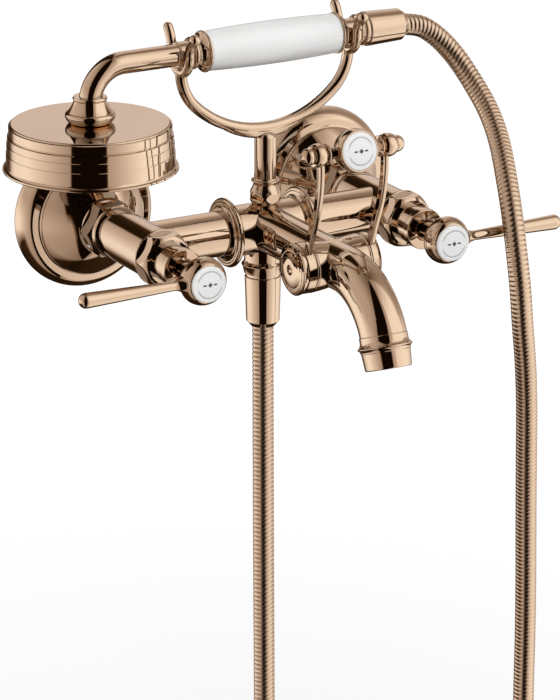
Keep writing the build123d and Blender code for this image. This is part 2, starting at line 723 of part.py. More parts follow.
def spout_arm(parts):
    """The curved spout with the aerator on its end."""
    start = hub_distance + housing_front
    stations = [(start, hub_z), (start + spout_straight, hub_z)]
    angle = 0.0
    path = [Line((0, -start, hub_z), (0, -stations[-1][0], hub_z))]
    for radius, turn_to in ((spout_bend_r, spout_bend), (spout_sweep_r, spout_end_angle)):
        forward, up = stations[-1]
        centre = (forward - radius * math.sin(angle), up - radius * math.cos(angle))
        turns = (angle + (math.radians(turn_to) - angle) / 2, math.radians(turn_to))
        ends = [(centre[0] + radius * math.sin(t), centre[1] + radius * math.cos(t)) for t in turns]
        corners = [(0, -f, u) for f, u in (stations[-1], *ends)]
        path.append(ThreePointArc(*corners))
        stations.append(ends[-1])
        angle = turns[-1]
    path = Wire(path)
    pipe = tube(path, spout_r) - tube(path, spout_bore_r)
    pipe += facing_room(rod(spigot_r, start - spigot_length, start, throat_r), 0, hub_z)
    pipe -= facing_room(rod(throat_r, start - spigot_length, start + 1), 0, hub_z)
    tip = Plane(origin=path @ 1, x_dir=(1, 0, 0), z_dir=path % 1)
    pipe += tip.location * rod(tip_thread_r, 0, tip_thread_length, spout_bore_r)
    parts["spout"] = pipe
    ring_start = spout_collar_length
    ring_end = ring_start + aerator_ring_length
    tip_end = ring_end + aerator_nozzle_length
    ring = aerator_ring_r
    nozzle = aerator_nozzle_r
    case = turned(
        (0, 0), (spout_collar_r - 0.4, 0), ((spout_collar_r - 0.1, 0.2), (spout_collar_r, 0.7)),
        (spout_collar_r, ring_start),
        ((spout_collar_r + 0.5, ring_start + 1.5), (ring - 0.3, ring_start + 2.7)),
        ((ring, ring_start + 3.2), (ring - 0.4, ring_start + 3.7)),
        ((nozzle + 0.5, ring_end - 1.0), (nozzle + 0.3, ring_end)), (nozzle, ring_end + 0.3),
        (aerator_end_r, tip_end - 0.7),
        ((aerator_end_r - 0.2, tip_end - 0.2), (aerator_end_r - 0.7, tip_end)), (0, tip_end),
    )
    case -= rod(tip_thread_r + seat_gap, 0, tip_thread_length)
    case -= rod(spout_bore_r, tip_thread_length, tip_end)
    insert_start = tip_thread_length + 1
    case -= rod(aerator_bore_r, insert_start, tip_end)
    insert = rod(aerator_bore_r - seat_gap, insert_start, tip_end - 1.2)
    insert -= rod(aerator_bore_r - 1.6, insert_start, tip_end - 3.2)
    for count, radius in ((1, 0), (6, 3.0), (12, 6.2)):
        for turn in range(count):
            insert -= Rot(0, 0, 360 * turn / count) * (Pos(radius, 0, 0) * rod(1.0, tip_end - 4, tip_end))
    parts["aerator_housing"] = tip.location * case
    parts["aerator_insert"] = tip.location * insert


def hose_end(parts):
    """Outlet under the body with its check valve, washer and cone nut."""
    flange_end = outlet_top + outlet_flange_length
    nut_start = flange_end + outlet_groove_length
    thread_end = nut_start + outlet_thread_length
    valve_start = thread_end - check_valve_length
    socket = outlet_thread_length * 0.6
    nipple = rod(outlet_thread_r - seat_gap, outlet_top - socket, outlet_top)
    nipple += turned(
        (0, outlet_top), (outlet_neck_r, outlet_top),
        ((outlet_neck_r + 0.3, outlet_top + 1.4), (outlet_flange_r - 0.3, outlet_top + 2.4)),
        ((outlet_flange_r, outlet_top + 2.8), (outlet_flange_r - 0.1, outlet_top + 3.2)),
        ((outlet_flange_r - 0.9, flange_end - 2.2), (outlet_flange_r - 1.3, flange_end)), (0, flange_end),
    )
    nipple += rod(outlet_flange_r - 2.3, flange_end, nut_start)
    nipple += rod(outlet_thread_r, nut_start, thread_end)
    nipple -= rod(outlet_bore_r, outlet_top - socket, thread_end)
    nipple -= rod(check_valve_r + seat_gap, valve_start, thread_end)
    valve = rod(check_valve_r, valve_start, thread_end, check_valve_r - 1.4)
    valve += rod(1.2, valve_start + 1, thread_end - 1)
    for turn in range(3):
        spoke = Box(check_valve_r - 0.6, 0.9, 3)
        spoke = Pos(check_valve_r / 2, 0, valve_start + check_valve_length / 2) * spoke
        valve += Rot(0, 0, 120 * turn) * spoke
    washer = rod(outlet_thread_r - seat_gap, thread_end, thread_end + washer_thick, hose_bore_r)
    inner = outlet_thread_length + washer_thick
    nut = cone_nut(inner, seat_gap, lower_nut_r, lower_nut_length)
    place = (0, -bar_distance, 0, -1)
    parts["hose_outlet"] = upright(nipple, *place)
    parts["check_valve"] = upright(valve, *place)
    parts["lower_hose_washer"] = upright(washer, *place)
    parts["hose_lower_nut"] = upright(nut, 0, -bar_distance, -nut_start, -1)


def cone_nut(inner, gap, wide, length):
    """The long tapered nut at each end of the hose, standing on its wide end."""
    end = length + cone_nut_chamfer
    nut = turned(
        (0, 0), (wide - 0.7, 0), ((wide - 0.2, 0.25), (wide, 0.8)),
        (wide - cone_nut_taper, length), (hose_r + 0.8, end), (0, end),
    )
    nut -= rod(outlet_thread_r + gap, 0, inner)
    nut -= rod(hose_r + seat_gap, inner, end)
    return nut


def cradle(parts):
    """Nut and stem on the body, and the fork whose two hooks hold the hand shower."""
    top = cradle_nut_top
    ring = cradle_ring_r
    nut = turned(
        (0, pad_top), (pad_r - 0.4, pad_top),
        ((cradle_nut_r - 0.8, pad_top + 2.2), (cradle_nut_r, pad_top + 5.0)),
        ((8.0, pad_top + 8.2), (6.5, top - 3.6)), ((6.6, top - 3.0), (ring - 0.5, top - 2.0)),
        ((ring, top - 1.4), (ring - 0.4, top - 0.8)), ((6.8, top - 0.5), (6.6, top)), (0, top),
    )
    flats = RegularPolygon(cradle_nut_across / math.sqrt(3), 6)
    nut &= extrude(Plane.XY.offset(pad_top) * flats, cradle_nut_length)
    nut -= rod(stem_spigot_r + seat_gap, pad_top, cradle_nut_top)
    parts["cradle_nut"] = upright(nut, 0, cradle_y)
    stem = rod(stem_r, cradle_nut_top, stem_top)
    stem += rod(stem_spigot_r, pad_top - stem_socket, cradle_nut_top)
    stem += rod(fork_peg_r, stem_top, stem_top + fork_peg_length)
    parts["cradle_stem"] = upright(stem, 0, cradle_y)
    hook_r = handset_neck_r + face_gap + hook_rod_r
    top = handset_z - hook_r
    height = top - arch_bottom
    inset = arch_half - arch_side_r
    bottom_r = (inset ** 2 + height ** 2 - arch_side_r ** 2) / (2 * (height - arch_side_r))
    low = (0, arch_bottom + bottom_r)
    side = (inset, top)
    slope = math.atan2(side[1] - low[1], side[0] - low[0])
    join = (low[0] + bottom_r * math.cos(slope), low[1] + bottom_r * math.sin(slope))
    mid = (side[0] + arch_side_r * math.cos(slope / 2), side[1] + arch_side_r * math.sin(slope / 2))
    arch = Wire([
        ThreePointArc(at_cradle(-arch_half, top), at_cradle(-mid[0], mid[1]), at_cradle(-join[0], join[1])),
        ThreePointArc(at_cradle(-join[0], join[1]), at_cradle(0, arch_bottom), at_cradle(*join)),
        ThreePointArc(at_cradle(*join), at_cradle(*mid), at_cradle(arch_half, top)),
    ])
    fork = tube(arch, arch_rod_r)
    web_z = low[1] - math.sqrt(bottom_r ** 2 - web_half ** 2)
    spots = [(-web_half, web_z), (0, arch_bottom - web_drop), (web_half, web_z)]
    web = ThreePointArc(*[at_cradle(*spot) for spot in spots])
    fork += tube(web, arch_rod_r - 0.3)
    fork += upright(turned(
        (0, stem_top), (stem_r, stem_top), (stem_r, arch_bottom - web_drop - 2.2),
        dome(stem_r, arch_bottom - web_drop - 2.2, stem_r * 0.6),
    ), 0, cradle_y)
    fork -= upright(rod(fork_peg_r + seat_gap, stem_top, stem_top + fork_peg_length), 0, cradle_y)
    for sign in sides.values():
        x = sign * arch_half
        seat = [(-hook_r, 0), (0, -hook_r), (hook_r, 0)]
        front, under, rear = [(x, cradle_y + y, handset_z + z) for y, z in seat]
        front_bend, front_tip = horn(x, -1, hook_r, front_horn)
        rear_bend, rear_tip = horn(x, 1, hook_r, rear_horn)
        hook = Wire([
            ThreePointArc(front_tip, front_bend, front),
            ThreePointArc(front, under, rear),
            ThreePointArc(rear, rear_bend, rear_tip),
        ])
        fork += tube(hook, hook_rod_r)
        fork += Pos(*front_tip) * Sphere(horn_ball_r)
        fork += Pos(*rear_tip) * Sphere(hook_rod_r)
    parts["cradle_fork"] = fork


def horn(x, way, start, tip):
    """Middle and end of the arc that leaves a hook's side straight up and flares outward."""
    out = tip[0] - start
    radius = (out ** 2 + tip[1] ** 2) / (2 * out)
    half = math.atan2(out, tip[1])
    bend = (start + radius * (1 - math.cos(half)), radius * math.sin(half))
    return [(x, cradle_y + way * y, handset_z + z) for y, z in (bend, tip)]


def at_cradle(x, z):
    """A point in the plane of the cradle."""
    return (x, cradle_y, z)


def hand_shower(parts):
    """Head, neck, ferrules, porcelain grip and the water tube inside it."""
    low = -head_height
    wall = head_wall
    plate_top = low + spray_plate_thick
    plate_r = head_low_r - wall
    side = head_low_r
    shell = turned(
        (0, 0), (head_top_r - 0.9, 0), ((head_top_r - 0.25, -0.25), (head_top_r, -0.9)),
        (side - 1.6, -1.2), (side - 1.6, -5.6), (side - 1.95, -5.9), (side - 1.95, -6.3),
        (side - 0.9, -6.7), (side - 0.75, -10.3),
        (side - 0.45, -10.6), (side - 0.4, -15.4), (side - 0.1, -15.7), (side, low + 2.8),
        ((side + 0.5, low + 1.8), (head_lip_r - 0.1, low + 1.3)), (head_lip_r, low + 0.6),
        ((head_lip_r - 0.2, low + 0.15), (head_lip_r - 0.7, low)), (plate_r + 0.7, low),
        (plate_r + 0.7, plate_top), (plate_r - 0.6, plate_top), (plate_r - 0.6, -12.0),
        (plate_r - 1.8, -9.0), (plate_r - 1.8, -3.4), (plate_r - 3.4, -wall), (0, -wall),
    )
    shell -= rod(collar_spigot_r + seat_gap, -wall - 1, 0)
    plate = rod(plate_r + 0.65, low, plate_top)
    nozzle = turned(
        (0, low - 0.9), (nozzle_r * 0.7, low - 0.9), (nozzle_r, low),
        (nozzle_r, plate_top), (0, plate_top),
    )
    nozzle -= rod(0.35, low - 0.9, plate_top)
    nozzles = []
    for row in range(1, nozzle_rows + 1):
        for turn in range(6 * row):
            spot = Rot(0, 0, 60 * turn / row) * Pos(row * nozzle_pitch, 0, 0)
            nozzles.append(upright(spot * nozzle, head_x, cradle_y, head_top))
            plate -= spot * rod(nozzle_r, low, plate_top)
    parts["head_shell"] = upright(shell, head_x, cradle_y, head_top)
    parts["spray_plate"] = upright(plate, head_x, cradle_y, head_top)
    parts["spray_nozzles"] = nozzles
    neck_base = handset_z - gooseneck_bend_r
    collar_top = head_collar_height
    foot = head_collar_foot_r
    collar = turned(
        (0, 0), (foot, 0), ((head_collar_r - 0.9, 1.7), (head_collar_r, 4.2)),
        ((head_collar_r - 0.35, 5.3), (head_collar_r - 1.4, 6.1)), ((9.9, 9.4), (8.7, collar_top - 2.2)),
        ((head_collar_top_r, collar_top - 1.2), (head_collar_top_r - 0.5, collar_top)), (0, collar_top),
    )
    tube_seat = neck_base - head_top - 7
    collar += rod(collar_spigot_r, -wall, 0)
    collar -= rod(tube_bore_r, -wall, tube_seat)
    radius = gooseneck_bend_r
    corner = radius * math.sin(math.radians(45))
    tube_start = grip_start - ferrule_length + neck_socket
    neck = Wire([
        Line((head_x, cradle_y, head_top + tube_seat), (head_x, cradle_y, neck_base)),
        ThreePointArc(
            (head_x, cradle_y, neck_base), (head_x + radius - corner, cradle_y, neck_base + corner),
            (head_x + radius, cradle_y, handset_z),
        ),
        Line((head_x + radius, cradle_y, handset_z), (tube_start, cradle_y, handset_z)),
    ])
    parts["gooseneck"] = tube(neck, tube_r) - tube(neck, tube_bore_r)
    parts["head_collar"] = upright(collar, head_x, cradle_y, head_top) - tube(neck, tube_r + seat_gap)
    front = -ferrule_length
    bell = turned(
        (0, front), (handset_neck_r - 0.4, front),
        ((handset_neck_r, front + 0.4), (handset_neck_r, front + 1)),
        (handset_neck_r, -9.4), ((8.8, -7.6), (7.6, -5.8)), ((8.6, -3.2), (ferrule_rim_r - 0.5, -1.6)),
        ((ferrule_rim_r, -0.9), (ferrule_rim_r - 0.3, 0)), (0, 0),
    )
    front_ferrule = bell - rod(tube_r + seat_gap, front, front + neck_socket)
    front_ferrule -= rod(water_tube_r + seat_gap, front + neck_socket, 0)
    parts["front_ferrule"] = in_line(front_ferrule, grip_start)
    middle = (grip_start + grip_end) / 2
    grip = turned(
        (0, grip_start), (grip_end_r - 0.5, grip_start), (grip_end_r, grip_start + 0.8),
        ((grip_mid_r, middle), (grip_end_r, grip_end - 0.8)), (grip_end_r - 0.5, grip_end), (0, grip_end),
    )
    grip -= rod(water_tube_r + face_gap, grip_start, grip_end)
    parts["grip"] = in_line(grip, 0)
    inner_end = ferrule_length - neck_socket
    water_tube = rod(water_tube_r, grip_start - inner_end, grip_end + inner_end, tube_bore_r)
    parts["handset_tube"] = in_line(water_tube, 0)
    thread_start = upper_nut_start - grip_end - face_gap
    thread_end = thread_start + outlet_thread_length
    rear = turned(
        (0, 0), (ferrule_rim_r - 0.3, 0), ((ferrule_rim_r, 0.8), (ferrule_rim_r - 0.4, 1.3)),
        ((8.7, 2.0), (7.8, 3.2)), ((8.6, 4.0), (handset_neck_r, 4.9)), (handset_neck_r, rear_neck_length),
        (8.2, rear_neck_length + 0.3), ((8.7, rear_neck_length + 1.2), (8.2, rear_neck_length + 2.1)),
        (7.8, rear_neck_length + 2.4), (7.8, rear_neck_length + 3.0), (8.6, rear_neck_length + 3.3),
        ((8.9, rear_neck_length + 4.2), (8.9, thread_start)), (0, thread_start),
    )
    rear += rod(outlet_thread_r, thread_start, thread_end)
    rear -= rod(tube_bore_r, 0, thread_end)
    rear -= rod(water_tube_r + seat_gap, 0, inner_end)
    parts["rear_ferrule"] = in_line(rear, grip_end)
    washer = rod(outlet_thread_r - seat_gap, thread_end, thread_end + washer_thick, hose_bore_r)
    parts["upper_hose_washer"] = in_line(washer, grip_end)
    inner = outlet_thread_length + washer_thick
    nut = cone_nut(inner, face_gap, upper_nut_r, upper_nut_length)
    parts["hose_upper_nut"] = in_line(nut, upper_nut_start)


def in_line(shape, x):
    """Places a shape built along Z on the hand shower's own axis, from x onwards."""
    return along_x(shape, x, cradle_y, handset_z)


def ribbed_hose(parts):
    """The hose, ribbed like its metal strip, along straight runs joined by arcs."""
    points = [Vector(*point) for point in hose_route]
    radii = []
    for before, point, after in zip(points, points[1:], points[2:]):
        run_in = point - before
        run_out = after - point
        turn = math.radians(run_in.get_angle(run_out))
        radii.append(0.45 * min(run_in.length, run_out.length) / math.tan(turn / 2))
    path = Wire(FilletPolyline(*points, radius=radii).edges())
    length = path.length
    pitch = length / hose_ribs
    profile = ((0.0, 0.0), (0.14, 1.0), (0.66, 1.0), (0.80, 0.0))
    rings = []
    for rib in range(hose_ribs + 1):
        for place, rise in profile:
            at = min((rib + place) * pitch, length)
            if rib == hose_ribs and place > 0:
                continue
            along = path % (at / length)
            across = Vector(0, 1, 0) - along * along.Y
            ring = Plane(origin=path @ (at / length), x_dir=across, z_dir=along)
            rings.append(ring * Circle(hose_r - hose_groove_depth * (1 - rise)))
    hose = loft(rings, ruled=True) - tube(path, hose_bore_r)
    spots = [path @ (step * 6.0 / length) for step in range(int(length / 6.0))]
    apart = int(40 / 6)
    pairs = [(a - b).length for n, a in enumerate(spots) for b in spots[n + apart:]]
    print("hose radii mm:", " ".join(f"{radius:.0f}" for radius in radii))
    print(f"hose length {length:.1f} mm, least gap to itself {min(pairs) - 2 * hose_r:.1f} mm")
    crest = math.pi * (hose_r ** 2 - hose_bore_r ** 2) * length / 1000
    print(f"hose volume {hose.volume / 1000:.2f} cm3, plain tube {crest:.2f} cm3")
    parts["hose"] = hose


pieces = {}
for build in (
    wall_side, body_casting, valves, handles, diverter, bail, spout_arm,
    hose_end, cradle, hand_shower, ribbed_hose,
):
    build(pieces)

os.makedirs("parts", exist_ok=True)
for name, shape in pieces.items():
    if isinstance(shape, list):
        shape = Compound(children=[solid for piece in shape for solid in piece.solids()])
    export_step(shape, f"parts/{name}.step")
print(len(pieces), "nodes")
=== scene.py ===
import json
import math

import bpy
from mathutils import Matrix, Vector


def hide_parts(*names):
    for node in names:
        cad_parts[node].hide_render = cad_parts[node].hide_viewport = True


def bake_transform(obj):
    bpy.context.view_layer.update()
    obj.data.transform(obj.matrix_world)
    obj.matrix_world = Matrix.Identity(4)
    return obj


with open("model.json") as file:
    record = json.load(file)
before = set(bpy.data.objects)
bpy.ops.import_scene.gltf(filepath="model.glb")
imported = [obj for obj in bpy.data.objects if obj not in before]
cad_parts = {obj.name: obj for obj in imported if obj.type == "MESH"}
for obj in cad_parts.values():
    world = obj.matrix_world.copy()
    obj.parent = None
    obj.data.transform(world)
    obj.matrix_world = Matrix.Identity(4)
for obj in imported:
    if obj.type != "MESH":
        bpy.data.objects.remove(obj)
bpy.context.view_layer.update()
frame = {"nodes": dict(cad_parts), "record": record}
nodes = frame["nodes"]
record = frame["record"]
scene = bpy.context.scene

# Camera, solved from the photograph: azimuth, elevation, place and focal length
AZIMUTH = math.radians(-29.15)
ELEVATION = math.radians(18.69)
CAMERA_AT = Vector((-1.07215, -2.01623, 0.67881))
LENS = 217.24


def add_camera():
    """The camera at the photograph's viewpoint."""
    back = Vector((
        math.sin(AZIMUTH) * math.cos(ELEVATION),
        -math.cos(AZIMUTH) * math.cos(ELEVATION),
        math.sin(ELEVATION),
    ))
    right = Vector((math.cos(AZIMUTH), math.sin(AZIMUTH), 0.0))
    up = back.cross(right)
    data = bpy.data.cameras.new("camera")
    data.lens = LENS
    data.sensor_width = 36.0
    data.clip_start = 0.05
    data.clip_end = 50.0
    camera = bpy.data.objects.new("camera", data)
    camera.matrix_world = Matrix((
        (right.x, up.x, back.x, CAMERA_AT.x),
        (right.y, up.y, back.y, CAMERA_AT.y),
        (right.z, up.z, back.z, CAMERA_AT.z),
        (0.0, 0.0, 0.0, 1.0),
    ))
    scene.collection.objects.link(camera)
    scene.camera = camera


# Materials
SOFT_EDGE = 0.15
PORCELAIN_DARK = (0.84, 0.84, 0.83)
PORCELAIN_LIGHT = (0.88, 0.88, 0.87)
MARK_GREY = (0.36, 0.36, 0.37)
MARK_GREY_SHARE = 0.7
MARK_BLACK = (0.035, 0.033, 0.035)
MARK_LINE_HALF = 0.00045
MARK_RING_R = 0.0073
MARK_ARC_HALF = math.radians(70)
MARK_DASH_AT = 0.0031
MARK_DASH_HALF = 0.0010
MARK_DIAMOND_HALF = 0.0014


def math_of(tree, operation, *sources):
    node = tree.nodes.new("ShaderNodeMath")
    node.operation = operation
    for socket, source in zip(node.inputs, sources):
        if isinstance(source, float):
            socket.default_value = source
        else:
            tree.links.new(source, socket)
    return node.outputs[0]


def mix_of(tree, share, a, b):
    """Colour a, turning to b as share goes to 1."""
    node = tree.nodes.new("ShaderNodeMix")
    node.data_type = "RGBA"
    tree.links.new(share, node.inputs[0])
    for socket, source in ((node.inputs[6], a), (node.inputs[7], b)):
        if isinstance(source, tuple):
            socket.default_value = (*source, 1.0)
        else:
            tree.links.new(source, socket)
    return node.outputs[2]


def remap_of(tree, source, start, end, low=0.0, high=1.0):
    """Runs from low to high as the source runs from start to end, and no further."""
    node = tree.nodes.new("ShaderNodeMapRange")
    for name, value in (("From Min", start), ("From Max", end), ("To Min", low), ("To Max", high)):
        node.inputs[name].default_value = value
    tree.links.new(source, node.inputs["Value"])
    return node.outputs["Result"]


class Graph:
    """Short calls for building a material's nodes."""

    def __init__(self, name):
        self.material = bpy.data.materials.new(name)
        self.material.use_nodes = True
        self.tree = self.material.node_tree
        self.shader = self.tree.nodes["Principled BSDF"]

    @classmethod
    def of(cls, material):
        """The graph of a material that is already made."""
        graph = cls.__new__(cls)
        graph.material = material
        graph.tree = material.node_tree
        graph.shader = graph.tree.nodes["Principled BSDF"]
        return graph

    def add(self, kind, **values):
        node = self.tree.nodes.new(kind)
        for key, value in values.items():
            if hasattr(node, key):
                setattr(node, key, value)
            else:
                node.inputs[key.replace("_", " ")].default_value = value
        return node

    def link(self, source, target):
        self.tree.links.new(source, target)

    def math(self, operation, *sources):
        return math_of(self.tree, operation, *sources)

    def within(self, source, middle, half):
        """1 where a value lies within half of the middle, with a soft edge."""
        away = self.math("ABSOLUTE", self.math("SUBTRACT", source, float(middle)))
        share = self.math("DIVIDE", away, float(half))
        return remap_of(self.tree, share, 1.0 + SOFT_EDGE, 1.0 - SOFT_EDGE)

    def noise(self, scale, detail=2.0, roughness=0.5):
        place = self.add("ShaderNodeTexCoord")
        noise = self.add("ShaderNodeTexNoise")
        noise.inputs["Scale"].default_value = scale
        noise.inputs["Detail"].default_value = detail
        noise.inputs["Roughness"].default_value = roughness
        self.link(place.outputs["Object"], noise.inputs["Vector"])
        return noise.outputs["Fac"]

    def ramp(self, source, low, high, colours):
        ramp = self.add("ShaderNodeValToRGB")
        for stop, place, colour in zip(ramp.color_ramp.elements, (low, high), colours):
            stop.position = place
            stop.color = (*colour, 1.0)
        self.link(source, ramp.inputs["Fac"])
        return ramp.outputs["Color"]

    def remap(self, source, low, high):
        return remap_of(self.tree, source, 0.0, 1.0, low, high)

    def bump(self, source, strength, distance):
        bump = self.add("ShaderNodeBump")
        bump.inputs["Strength"].default_value = strength
        bump.inputs["Distance"].default_value = distance
        self.link(source, bump.inputs["Height"])
        self.link(bump.outputs["Normal"], self.shader.inputs["Normal"])


def metal(name, dark, light, rough=(0.02, 0.05), wave=0.02):
    """Polished, plated metal: slight tone change, smudged gloss and a buffed waviness."""
    graph = Graph(name)
    shader = graph.shader
    shader.inputs["Metallic"].default_value = 1.0
    graph.link(graph.ramp(graph.noise(18.0), 0.3, 0.7, (dark, light)), shader.inputs["Base Color"])
    graph.link(graph.remap(graph.noise(60.0, 4.0), *rough), shader.inputs["Roughness"])
    graph.bump(graph.noise(45.0, 1.0), wave, 0.001)
    return graph.material


def glaze(name, dark, light):
    """White glazed porcelain."""
    graph = Graph(name)
    shader = graph.shader
    shader.inputs["IOR"].default_value = 1.55
    shader.inputs["Subsurface Weight"].default_value = 0.15
    shader.inputs["Subsurface Radius"].default_value = (0.004, 0.003, 0.003)
    shader.inputs["Coat Weight"].default_value = 0.6
    shader.inputs["Coat Roughness"].default_value = 0.03
    graph.link(graph.ramp(graph.noise(30.0), 0.35, 0.65, (dark, light)), shader.inputs["Base Color"])
    graph.link(graph.remap(graph.noise(80.0, 3.0), 0.10, 0.16), shader.inputs["Roughness"])
    graph.bump(graph.noise(120.0, 2.0), 0.03, 0.0005)
    return graph.material


def marked_glaze(name, centre, tilt=0.0):
    """The same porcelain with a fired-on mark, two grey arcs round a diamond between two dashes."""
    material = glaze(name, PORCELAIN_DARK, PORCELAIN_LIGHT)
    graph = Graph.of(material)
    place = graph.add("ShaderNodeTexCoord").outputs["Object"]
    mapping = graph.add("ShaderNodeMapping", vector_type="POINT")
    mapping.inputs["Rotation"].default_value = (tilt, 0.0, 0.0)
    mapping.inputs["Location"].default_value = -(Matrix.Rotation(tilt, 3, "X") @ Vector(centre))
    graph.link(place, mapping.inputs["Vector"])
    flat = graph.add("ShaderNodeSeparateXYZ")
    graph.link(mapping.outputs["Vector"], flat.inputs["Vector"])
    across, up = flat.outputs["X"], flat.outputs["Z"]
    squares = [graph.math("MULTIPLY", value, value) for value in (across, up)]
    radius = graph.math("SQRT", graph.math("ADD", *squares))
    angle = graph.math("ABSOLUTE", graph.math("ARCTAN2", up, across))
    ring = graph.within(radius, MARK_RING_R, MARK_LINE_HALF)
    arcs = graph.math("MULTIPLY", ring, graph.within(angle, math.radians(90), MARK_ARC_HALF))
    side, height = graph.math("ABSOLUTE", across), graph.math("ABSOLUTE", up)
    level = graph.within(up, 0.0, MARK_LINE_HALF)
    dash = graph.math("MULTIPLY", graph.within(side, MARK_DASH_AT, MARK_DASH_HALF), level)
    diamond = graph.within(graph.math("ADD", side, height), 0.0, MARK_DIAMOND_HALF)
    base = graph.shader.inputs["Base Color"]
    plain = base.links[0].from_socket
    grey = mix_of(graph.tree, graph.math("MULTIPLY", arcs, MARK_GREY_SHARE), plain, MARK_GREY)
    graph.link(mix_of(graph.tree, graph.math("MAXIMUM", dash, diamond), grey, MARK_BLACK), base)
    return material


def matte(name, dark, light, rough, scale=300.0):
    """Moulded rubber or plastic with a fine grain."""
    graph = Graph(name)
    inputs = graph.shader.inputs
    graph.link(graph.ramp(graph.noise(scale, 3.0), 0.35, 0.65, (dark, light)), inputs["Base Color"])
    graph.link(graph.remap(graph.noise(scale, 2.0), rough - 0.05, rough + 0.05), inputs["Roughness"])
    graph.bump(graph.noise(3 * scale, 2.0), 0.1, 0.0002)
    return graph.material


ROSE_DARK = (0.905, 0.668, 0.470)
ROSE_LIGHT = (0.935, 0.698, 0.494)
BRASS_DARK = (0.58, 0.42, 0.17)
BRASS_LIGHT = (0.66, 0.49, 0.22)
finishes = {
    "rose_gold": metal("rose_gold_polish", ROSE_DARK, ROSE_LIGHT),
    "hose_strip": metal("rose_gold_strip", ROSE_DARK, ROSE_LIGHT, rough=(0.20, 0.28), wave=0.05),
    "plain_brass": metal("machined_brass", BRASS_DARK, BRASS_LIGHT, rough=(0.25, 0.35), wave=0.1),
    "porcelain": glaze("white_porcelain", PORCELAIN_DARK, PORCELAIN_LIGHT),
    "valve_ceramic": matte("lapped_ceramic", (0.78, 0.76, 0.72), (0.84, 0.82, 0.78), 0.30),
    "dark_rubber": matte("black_rubber", (0.012, 0.012, 0.012), (0.022, 0.022, 0.022), 0.55),
    "grey_plastic": matte("grey_plastic", (0.30, 0.31, 0.32), (0.36, 0.37, 0.38), 0.40),
}

# The caps with a mark, by the middle of the mark and the tilt of the face
CAPS = {
    "handle_cap_hot": marked_glaze("porcelain_mark_hot", (-0.075, 0.0, 0.0)),
    "handle_cap_cold": marked_glaze("porcelain_mark_cold", (0.075, 0.0, 0.0)),
    "shower_cap": marked_glaze("porcelain_mark_bail", (0.0, -0.172, 0.068), math.radians(10)),
}


def paint(thing, material):
    """One material all over a mesh."""
    thing.data.materials.clear()
    thing.data.materials.append(material)


def dress_nodes():
    """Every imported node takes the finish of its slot."""
    for part in record["subparts"]:
        node = nodes[part["node"]]
        for index in range(len(node.material_slots)):
            node.material_slots[index].link = "OBJECT"
            node.material_slots[index].material = CAPS.get(part["node"], finishes[part["material_slot"]])


# The hose: its route, from the outlet under the body round to the hand shower
HOSE_ROUTE = [
    (0.0, -74.5, -40.4), (0.0, -74.5, -150.0), (0.4, -74.9, -285.0), (0.2, -75.5, -368.0),
    (0.8, -76.2, -422.0), (3.6, -77.5, -456.0), (15.2, -79.4, -484.0), (36.4, -81.8, -504.4),
    (63.4, -84.6, -515.8), (93.0, -87.6, -515.8), (120.4, -90.6, -504.4), (141.6, -93.6, -484.0),
    (153.4, -96.4, -456.0), (157.4, -99.0, -422.0), (158.4, -102.0, -372.0), (155.5, -106.0, -303.0),
    (151.5, -113.0, -259.0), (146.0, -121.0, -216.0), (140.1, -129.0, -177.0), (133.8, -138.0, -139.0),
    (127.4, -147.5, -104.0), (120.2, -156.5, -74.0), (114.5, -161.5, -50.0), (111.5, -163.5, -28.0),
    (110.2, -160.5, -6.0), (111.5, -153.0, 14.0), (116.0, -139.0, 31.0), (122.5, -122.0, 44.0),
    (126.0, -105.0, 56.5), (123.5, -92.0, 69.8), (116.6, -83.5, 84.6), (106.0, -79.0, 97.0),
    (93.0, -77.5, 104.7), (74.5, -77.5, 104.7),
]
HOSE_RADIUS = 0.006
HOSE_GROOVE = 0.0006
HOSE_PITCH = 0.0026
HOSE_SIDES = 28
HOSE_STEPS = 24
# The strip's height, from 0 to 1, at places along one turn
HOSE_PROFILE = (
    (0.00, 0.55), (0.08, 0.95), (0.20, 1.00), (0.62, 1.00), (0.76, 0.90), (0.84, 0.30), (0.90, 0.0),
    (0.96, 0.1),
)


def smooth_line(name, route, steps):
    """Points of one open NURBS spline through a route given in millimetres."""
    curve = bpy.data.curves.new(name, "CURVE")
    curve.dimensions = "3D"
    curve.resolution_u = steps
    spline = curve.splines.new("NURBS")
    spline.points.add(len(route) - 1)
    for point, place in zip(spline.points, route):
        point.co = (*(value / 1000 for value in place), 1.0)
    spline.order_u = 3
    spline.use_endpoint_u = True
    holder = bpy.data.objects.new(name, curve)
    scene.collection.objects.link(holder)
    bpy.context.view_layer.update()
    mesh = bpy.data.meshes.new_from_object(holder)
    points = [vertex.co.copy() for vertex in mesh.vertices]
    bpy.data.objects.remove(holder)
    bpy.data.curves.remove(curve)
    bpy.data.meshes.remove(mesh)
    return points


def stations(points, spots):
    """Place and direction at each distance along a line of points."""
    ends = [0.0]
    for a, b in zip(points, points[1:]):
        ends.append(ends[-1] + (b - a).length)
    found = []
    index = 0
    for spot in spots:
        while index < len(points) - 2 and ends[index + 1] < spot:
            index += 1
        a, b = points[index], points[index + 1]
        share = (spot - ends[index]) / max(ends[index + 1] - ends[index], 1e-9)
        before = points[max(index - 1, 0)]
        after = points[min(index + 2, len(points) - 1)]
        lean = (b - before).lerp(after - a, share)
        found.append((a.lerp(b, share), lean.normalized()))
    return found


def line_length(points):
    return sum((b - a).length for a, b in zip(points, points[1:]))


def add_mesh(name, verts, faces, smooth=True):
    mesh = bpy.data.meshes.new(name)
    mesh.from_pydata(verts, [], faces)
    mesh.validate()
    mesh.update()
    for polygon in mesh.polygons:
        polygon.use_smooth = smooth
    thing = bpy.data.objects.new(name, mesh)
    scene.collection.objects.link(thing)
    return thing


